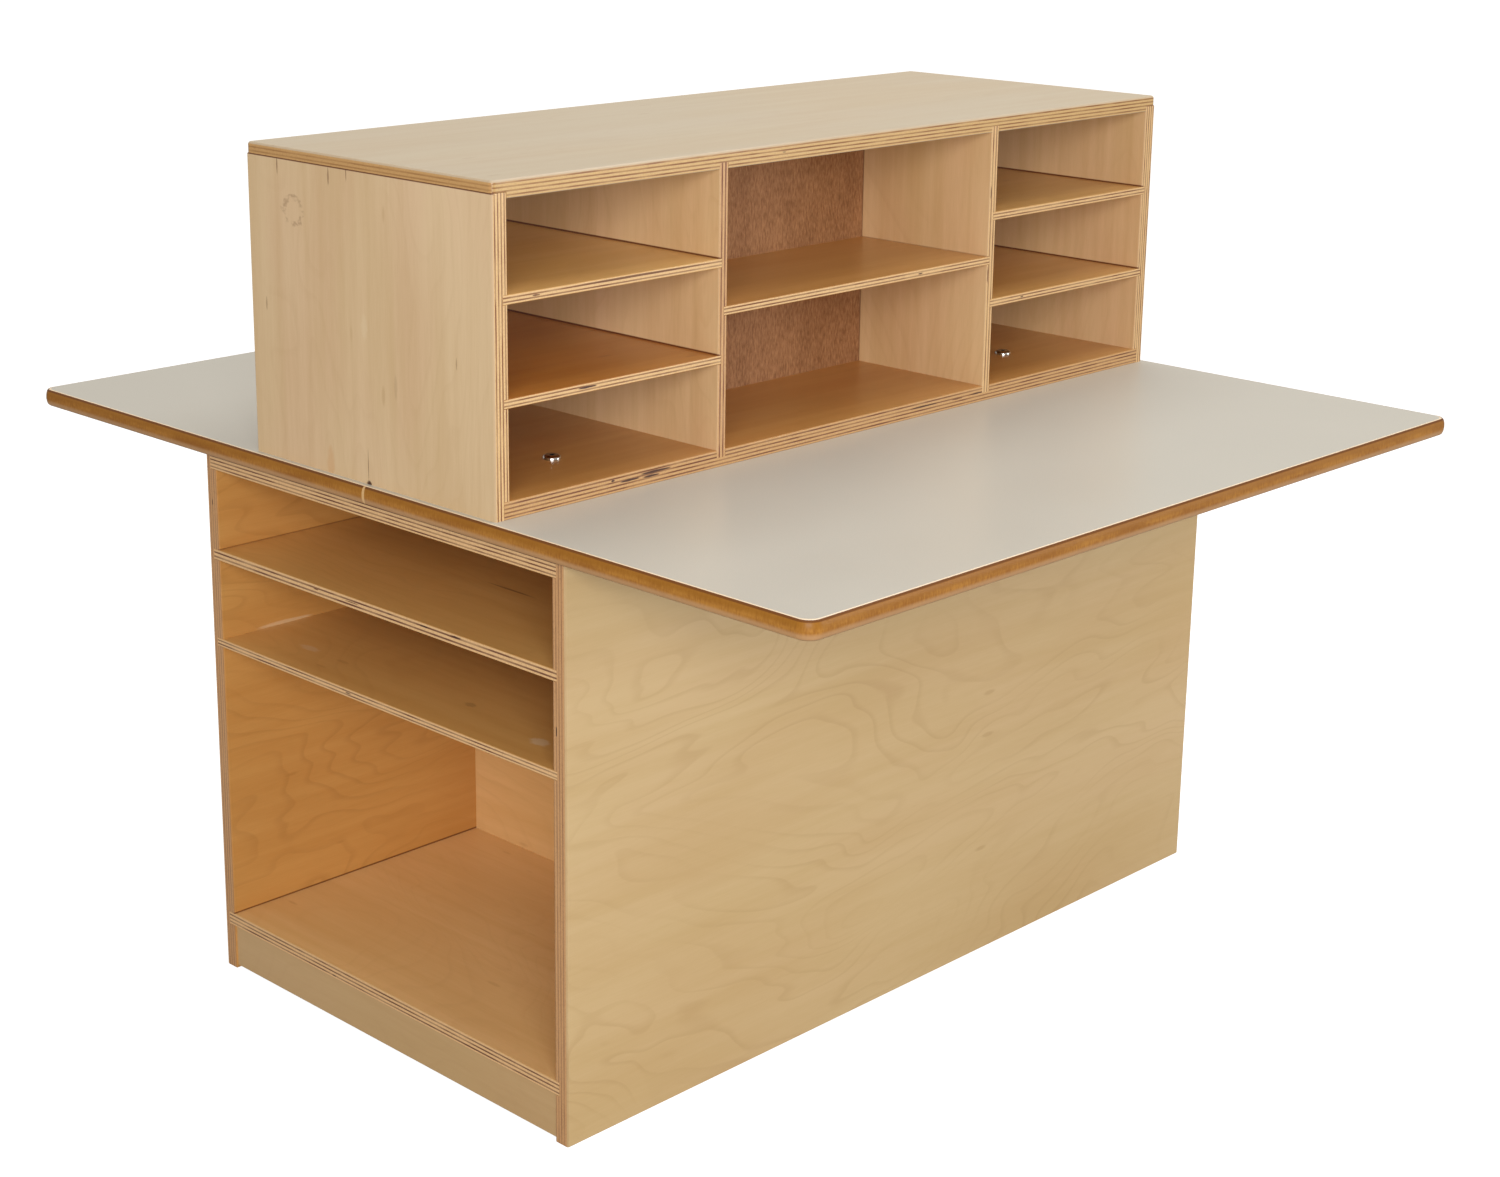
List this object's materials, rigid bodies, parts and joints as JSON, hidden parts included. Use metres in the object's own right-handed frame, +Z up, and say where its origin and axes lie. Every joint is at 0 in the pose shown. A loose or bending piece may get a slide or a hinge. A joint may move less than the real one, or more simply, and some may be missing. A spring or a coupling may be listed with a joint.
{
  "type": "study carrel",
  "caption": "Free-standing double-sided study island: birch plywood cabinet open at both ends, overhanging laminate worktop and a rack of open cubbies on top.",
  "frame": {"origin": "on the floor, under the middle of the worktop", "axes": "+Z up; the front faces -Y, with the open ends of the cabinet facing -X and +X; the worktop overhangs the cabinet along Y"},
  "size_m": [1.08, 1.219, 0.958],
  "materials": {
    "birch_plywood": "clear satin lacquer over birch plywood",
    "hardboard": "bare pressed hardboard",
    "particleboard": "raw board, hidden",
    "laminate": "satin high-pressure laminate",
    "laminate_backer": "matt phenolic backing sheet",
    "edge_molding": "satin flexible vinyl",
    "bolt_chrome": "bright plated steel",
    "zinc_steel": "dull zinc-plated steel, hidden"
  },
  "bodies": {
    "root": {"base_back_left": "birch_plywood", "base_back_right": "birch_plywood", "base_floor": "birch_plywood", "base_shelf_lower_left": "birch_plywood", "base_shelf_lower_right": "birch_plywood", "base_shelf_upper_left": "birch_plywood", "base_shelf_upper_right": "birch_plywood", "base_side_back": "birch_plywood", "base_side_front": "birch_plywood", "base_sub_top": "birch_plywood", "hutch_bolt_nuts": "zinc_steel", "hutch_bolts": "bolt_chrome", "hutch_divider_left": "birch_plywood", "hutch_divider_right": "birch_plywood", "hutch_floor": "birch_plywood", "hutch_middle_back": "hardboard", "hutch_shelf_left_lower": "birch_plywood", "hutch_shelf_left_upper": "birch_plywood", "hutch_shelf_middle_front": "birch_plywood", "hutch_shelf_middle_rear": "birch_plywood", "hutch_shelf_right_lower": "birch_plywood", "hutch_shelf_right_upper": "birch_plywood", "hutch_side_left": "birch_plywood", "hutch_side_right": "birch_plywood", "hutch_top": "birch_plywood", "kick_board_left": "birch_plywood", "kick_board_right": "birch_plywood", "worktop_backer": "laminate_backer", "worktop_core": "particleboard", "worktop_edge_molding": "edge_molding", "worktop_laminate": "laminate", "worktop_screws": "zinc_steel"}
  },
  "joints": []
}
